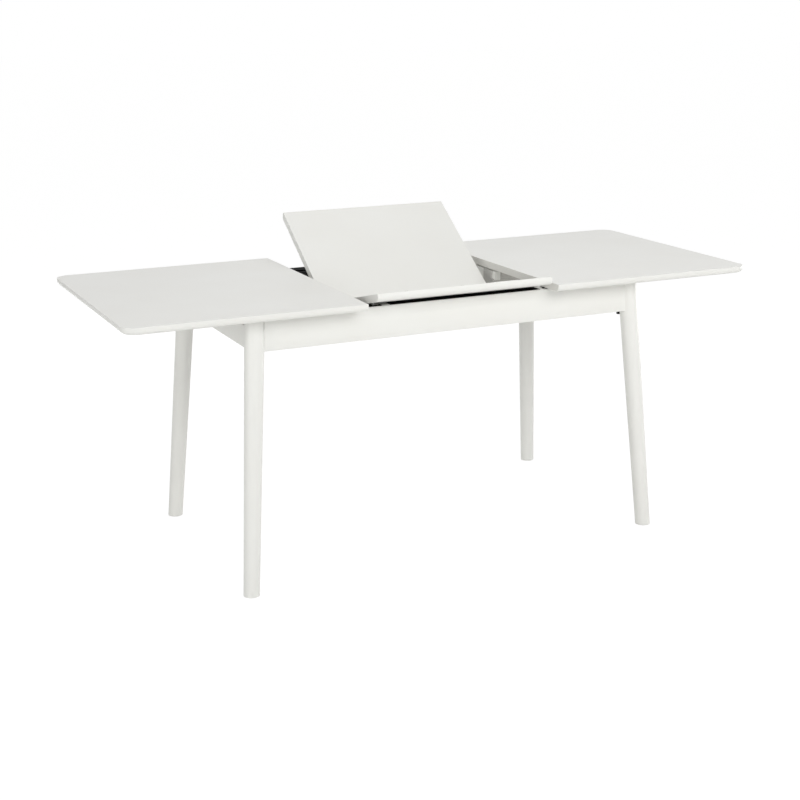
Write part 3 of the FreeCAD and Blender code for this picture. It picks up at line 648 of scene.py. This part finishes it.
def cross_cutter(head_radius, head_high):
    """Two crossed bars that stand in the top of a screw head."""
    reach, wide, deep = head_radius * RECESS_REACH, head_radius * RECESS_WIDE, head_high * RECESS_DEEP
    top = Vector((0, 0, head_high))
    halves = (Vector((reach, wide, deep)), Vector((wide, reach, deep)))
    bar, crossing = [block("recess_bar", top - half, top + half) for half in halves]
    apply_modifier(bar, "BOOLEAN", {"operation": "UNION", "solver": "EXACT", "object": crossing})
    bpy.data.objects.remove(crossing)
    return bar


def pan_screw(head_radius, head_high, shank_radius, length):
    """A pan-head screw along +Z, the underside of its head on the origin."""
    screw = turned("screw_pattern", head_radius, head_high, SCREW_SIDES)
    round_rim(screw, head_high, head_high * RIM_SHARE, segments=3)
    draw_shank(screw, head_radius, shank_radius, length, THREAD_POINT)
    cut_with(screw, cross_cutter(head_radius, head_high))
    bpy.ops.object.shade_smooth_by_angle(angle=ROUND_ANGLE)
    return screw


print("a screw's recess reaches", RECESS_REACH, "of its head")

# %% Where a set's screws stand
RIM_ZONE = 0.95
SHANK_ZONE = 0.8


def loose_solids(node):
    """The corners of every separate solid of a CAD node."""
    whole = clean_copy(node, "loose_pattern")
    bpy.ops.object.mode_set(mode="EDIT")
    bpy.ops.mesh.select_all(action="SELECT")
    bpy.ops.mesh.separate(type="LOOSE")
    bpy.ops.object.mode_set(mode="OBJECT")
    parts = list(bpy.context.selected_objects)
    clouds = [[corner.co.copy() for corner in part.data.vertices] for part in parts]
    for part in parts:
        bpy.data.objects.remove(part)
    return clouds


def measure_screw(cloud):
    """A screw's axis towards its head, its head's underside, and its four sizes."""
    low = Vector([min(corner[axis] for corner in cloud) for axis in range(3)])
    high = Vector([max(corner[axis] for corner in cloud) for axis in range(3)])
    size, middle = high - low, (low + high) / 2
    along = max(range(3), key=lambda axis: size[axis])
    across = [axis for axis in range(3) if axis != along]

    def off_axis(corner):
        return math.dist([corner[axis] for axis in across], [middle[axis] for axis in across])

    reaches = [off_axis(corner) for corner in cloud]
    head_radius = max(reaches)
    shank_radius = max(reach for reach in reaches if reach < SHANK_ZONE * head_radius)
    rim = [corner[along] for corner in cloud if off_axis(corner) > RIM_ZONE * head_radius]
    head_high = max(rim) - min(rim)
    towards = 1 if max(rim) > high[along] - MERGE_DISTANCE else -1
    direction = Vector((0, 0, 0))
    direction[along] = towards
    foot = middle.copy()
    foot[along] = min(rim) if towards > 0 else max(rim)
    return direction, foot, (head_radius, head_high, shank_radius, size[along] - head_high)


print("a screw's head starts beyond", RIM_ZONE, "of its widest reach")


# %% A screw for every solid of a set
def placed_copy(pattern, name, place):
    """A copy of a modelled pattern, with its own mesh, in its place."""
    copy = bpy.data.objects.new(name, pattern.data.copy())
    bpy.context.scene.collection.objects.link(copy)
    copy.data.transform(place)
    return copy


def fit_set(node, name, pattern_for):
    """Puts a modelled piece in the place of every solid of a node, and joins them."""
    copies, pattern = [], None
    for cloud in loose_solids(node):
        direction, foot, sizes = measure_screw(cloud)
        pattern = pattern or pattern_for(*sizes)
        turn = direction.to_track_quat("Z", "Y").to_matrix().to_4x4()
        copies.append(placed_copy(pattern, name, Matrix.Translation(foot) @ turn))
    bpy.data.objects.remove(pattern)
    pick(copies[0])
    for copy in copies:
        copy.select_set(True)
    bpy.ops.object.join()
    joined = bpy.context.object
    joined.name = name
    joined.data.materials.clear()
    joined.data.materials.append(finish_of(node))
    stands_for(joined, node)
    print(name, "of", len(copies), "pieces,", len(joined.data.polygons), "faces")


for node in ("slide_screws", "guide_plate_screws", "runner_screws_left", "runner_screws_right"):
    fit_set(node, f"{node}_pan_head", pan_screw)

# %% [markdown]
# ## Screws of the catch plates
# The tops slide over the catch plates with two millimetres to spare, so the screws there have a low
# head, and they are polished so that nothing catches on them. The pattern is the pan-head screw
# again, with the height of its head given instead of measured.

# %% Polished screws in the catch plates
CATCH_HEAD = 1.6 * MILLIMETRE
POLISHED = plain("polished_steel", paint(240, 240, 238), paint(246, 246, 244), METAL, 0.08, 0.5, 0.002)


def catch_screw(head_radius, head_high, shank_radius, length):
    """A screw whose head just clears the tops."""
    return pan_screw(head_radius, CATCH_HEAD, shank_radius, length)


fit_set("catch_screws", "catch_screws_polished", catch_screw)
bpy.data.objects["catch_screws_polished"].data.materials[0] = POLISHED

# %% [markdown]
# ## Lock bolts
# A bolt with a tall round head hangs below each corner block. It is tightened from below with a
# hexagonal key, so its head is turned with a round end and has a six-sided socket. A cylinder is
# bevelled into the round end, and a six-sided one cuts the socket.

# %% Bolt heads with a socket
BOLT_SIDES = 32
SOCKET_SIDES = 6
SOCKET_REACH = 0.5
SOCKET_DEEP = 5.0 * MILLIMETRE


def socket_bolt(head_radius, head_high, shank_radius, length):
    """A bolt along +Z with a rounded head and a six-sided socket in its end."""
    bolt = turned("bolt_pattern", head_radius, head_high, BOLT_SIDES)
    round_rim(bolt, head_high, head_radius * RIM_SHARE, segments=4)
    draw_shank(bolt, head_radius, shank_radius, length, THREAD_POINT)
    socket = turned("socket_pattern", head_radius * SOCKET_REACH, 2 * SOCKET_DEEP, SOCKET_SIDES)
    socket.data.transform(Matrix.Translation((0, 0, head_high - SOCKET_DEEP)))
    cut_with(bolt, socket)
    bpy.ops.object.shade_smooth_by_angle(angle=ROUND_ANGLE)
    return bolt


fit_set("lock_bolts", "lock_bolts_round_head", socket_bolt)

# %% [markdown]
# ## Striker and end screws in the gap
# At the left end of the gap a small steel striker with one round hole lies on the front rail,
# beside the catch plate. At the right end two black screws hold the rail's lip down on the apron.
# The striker is a cube brought to size in edit mode, its edges are bevelled and a rod cuts its
# hole. The screws are the pan-head pattern again, in black.

# %% Striker plate
STRIKER_LOW = Vector((-211, -300.5, 727)) * MILLIMETRE
STRIKER_HIGH = Vector((-189, -285, 728.2)) * MILLIMETRE
STRIKER_EASING = 0.4 * MILLIMETRE
BORE_FOOT = Vector((-196.5, -291, 726)) * MILLIMETRE
BORE_RADIUS = 3.4 * MILLIMETRE
BORE_HIGH = 4 * MILLIMETRE
BORE_SIDES = 20
striker = block("striker_plate", STRIKER_LOW, STRIKER_HIGH)
bpy.ops.object.mode_set(mode="EDIT")
bpy.ops.mesh.select_all(action="SELECT")
bpy.ops.mesh.bevel(offset=STRIKER_EASING, segments=2, affect="EDGES")
bpy.ops.object.mode_set(mode="OBJECT")
bore = turned("striker_bore", BORE_RADIUS, BORE_HIGH, BORE_SIDES)
bore.data.transform(Matrix.Translation(BORE_FOOT))
cut_with(striker, bore)
striker.data.materials.append(CATCH_ZINC)
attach(striker, "frame")
print(striker.name, len(striker.data.polygons), "faces")

# %% Black screws at the right end
END_SCREWS = (Vector((281, -290.5, 727)) * MILLIMETRE, Vector((287.5, -298, 727)) * MILLIMETRE)
END_HEAD = 4.4 * MILLIMETRE
END_HEAD_HIGH = 2.6 * MILLIMETRE
END_SHANK = 1.75 * MILLIMETRE
END_LENGTH = 14 * MILLIMETRE
end_screw = pan_screw(END_HEAD, END_HEAD_HIGH, END_SHANK, END_LENGTH)
for number, foot in enumerate(END_SCREWS, start=1):
    screw = placed_copy(end_screw, f"rail_end_screw_{number}", Matrix.Translation(foot))
    screw.data.materials.append(BLACK_PAINT)
    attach(screw, "frame")
bpy.data.objects.remove(end_screw)
print("black screws:", len(END_SCREWS))

# %% [markdown]
# ## The joint at the front left leg
# The upper corner of the front apron stands off the leg there by a few millimetres, which shows
# as a short dark line. A thin box cuts it out of the eased apron, and hands its grey primer slot
# to the faces of the cut, as painted shade that deepens the line.

# %% Gap beside the leg
GAP_LOW = Vector((-544, -310, 698)) * MILLIMETRE
GAP_HIGH = Vector((-540, -280, 730)) * MILLIMETRE
gap = block("leg_gap", GAP_LOW, GAP_HIGH)
# the grey primer on the faces of the cut is painted shade in the gap
for finish in (LACQUER["x"], PRIMER_AS_PAINTED_SHADE):
    gap.data.materials.append(finish)
for face in gap.data.polygons:
    face.material_index = 1
cut_with(boards["apron_front"], gap)
print("apron_front has", len(boards["apron_front"].data.polygons), "faces")

# %% [markdown]
# ## The studio
# A plain pale floor, a white surrounding and six soft lamps. A wide flat one stands high in front
# of the table, so that the tops throw a soft edge of shadow on the aprons. Two low ones fill the
# legs from the front and from the left, and one hangs overhead. Two more stand behind the table
# and at its right, below the height of the top, so that the far sides don't go grey. The
# surrounding lights every side about evenly. The white of the background is what the camera's own
# rays and the reflections see, not more light on the table, and the floor still keeps the table's
# shadow.

# %% Floor
FLOOR_SIZE = 60.0
FLOOR_PATCH = 0.4
FLOOR_GLOW = 0.85
GLOW_STRENGTH = 1.1
PURE = (1, 1, 1, 1)


def white_floor():
    """Pale matt floor that camera rays see as nearly white, with the shadow left in it."""
    finish = Finish("studio_floor", {"Roughness": 0.9})
    grain = finish.noise(FLOOR_PATCH, detail=2.0)
    finish.feed(
        finish.shader,
        {"Base Color": finish.blend(grain, paint(249, 249, 248), paint(251, 251, 250))},
    )
    rays = finish.node("ShaderNodeLightPath")
    glow = finish.node("ShaderNodeEmission", None, {"Color": PURE, "Strength": GLOW_STRENGTH})
    mix = finish.node("ShaderNodeMixShader")
    seen = Wire(finish, rays.outputs["Is Camera Ray"]) * FLOOR_GLOW
    finish.feed(
        mix,
        {
            0: seen,
            1: Wire(finish, finish.shader.outputs["BSDF"]),
            2: Wire(finish, glow.outputs["Emission"]),
        },
    )
    finish.feed(finish.nodes["Material Output"], {"Surface": Wire(finish, mix.outputs["Shader"])})
    return finish.material


bpy.ops.object.select_all(action="DESELECT")
bpy.ops.mesh.primitive_plane_add(size=FLOOR_SIZE, location=(0, 0, 0))
floor = bpy.context.object
floor.name = "studio_floor"
floor.data.materials.append(white_floor())
print("floor", FLOOR_SIZE, "m")

# %% Surrounding light
WORLD_LEVEL = 0.39
SEEN_LEVEL = 1.0
world = bpy.data.worlds.new("studio")
bpy.context.scene.world = world
sky = Tree(world)
dim = sky.nodes["Background"]
sky.feed(dim, {"Color": PURE, "Strength": WORLD_LEVEL})
bright = sky.node("ShaderNodeBackground", None, {"Color": PURE, "Strength": SEEN_LEVEL})
rays = sky.node("ShaderNodeLightPath")


def either(first, second):
    """One where either of two tests on a ray is one."""
    greater = sky.node("ShaderNodeMath", {"operation": "MAXIMUM"}, {0: first, 1: second})
    return Wire(sky, greater.outputs[0])


seen = either(
    Wire(sky, rays.outputs["Is Camera Ray"]), Wire(sky, rays.outputs["Is Transmission Ray"])
)
choose = sky.node(
    "ShaderNodeMixShader",
    None,
    {
        0: either(seen, Wire(sky, rays.outputs["Is Glossy Ray"])),
        1: Wire(sky, dim.outputs["Background"]),
        2: Wire(sky, bright.outputs["Background"]),
    },
)
sky.feed(sky.nodes["World Output"], {"Surface": Wire(sky, choose.outputs["Shader"])})
print("surrounding level", WORLD_LEVEL)

# %% Six soft lamps
LAMP_TARGET = Vector((0.0, 0.0, 0.6))


def softbox(name, place, wide, high, watts):
    """A rectangular lamp that faces the table."""
    place = Vector(place)
    bpy.ops.object.light_add(type="AREA", location=place)
    lamp = bpy.context.object
    lamp.name = name
    lamp.data.shape = "RECTANGLE"
    lamp.data.size = wide
    lamp.data.size_y = high
    lamp.data.energy = watts
    lamp.rotation_euler = (LAMP_TARGET - place).to_track_quat("-Z", "Y").to_euler()
    print(name, "at", tuple(place), "with", watts, "W")


softbox("front_softbox", (0.3, -3.3, 2.5), 3.2, 1.6, 63)
softbox("front_fill", (2.2, -3.6, 1.0), 2.4, 2.0, 12)
softbox("left_fill", (-3.6, -1.2, 0.5), 2.4, 2.4, 38)
softbox("overhead_softbox", (0.2, 0.8, 3.4), 2.4, 2.4, 21)
softbox("rear_fill", (0.6, 3.3, 0.36), 3.0, 0.5, 26)
softbox("right_fill", (3.6, 0.5, 0.36), 2.2, 0.5, 16)

# %% [markdown]
# ## The camera
# It stands in front of the table and beyond its left end, about 4.2 m from the middle of the top
# and 1.5 m high, and looks slightly down. The lens is a little longer than a normal one, which
# keeps the table's edges calm.

# %% Camera
CAMERA_PLACE = Vector((-1.76295, -3.7001, 1.52763))
CAMERA_AHEAD = Vector((0.4100821, 0.8705068, -0.2721223))
CAMERA_UP = Vector((0.1202251, 0.2441659, 0.962252))
CAMERA_LENS = 65.812
CAMERA_SENSOR = 36.0
CAMERA_REACH = 200.0
bpy.ops.object.camera_add(location=CAMERA_PLACE)
camera = bpy.context.object
camera.name = "product_camera"
side = CAMERA_AHEAD.cross(CAMERA_UP).normalized()
above = side.cross(CAMERA_AHEAD).normalized()
turn = Matrix((side, above, -CAMERA_AHEAD.normalized())).transposed()
camera.rotation_euler = turn.to_euler()
camera.data.lens = CAMERA_LENS
camera.data.sensor_width = CAMERA_SENSOR
camera.data.clip_end = CAMERA_REACH
bpy.context.scene.camera = camera
print("camera lens", CAMERA_LENS, "mm")

# %% [markdown]
# The render shows the colours as they are, with no film look.

# %% Plain colours
bpy.context.scene.view_settings.view_transform = "Standard"
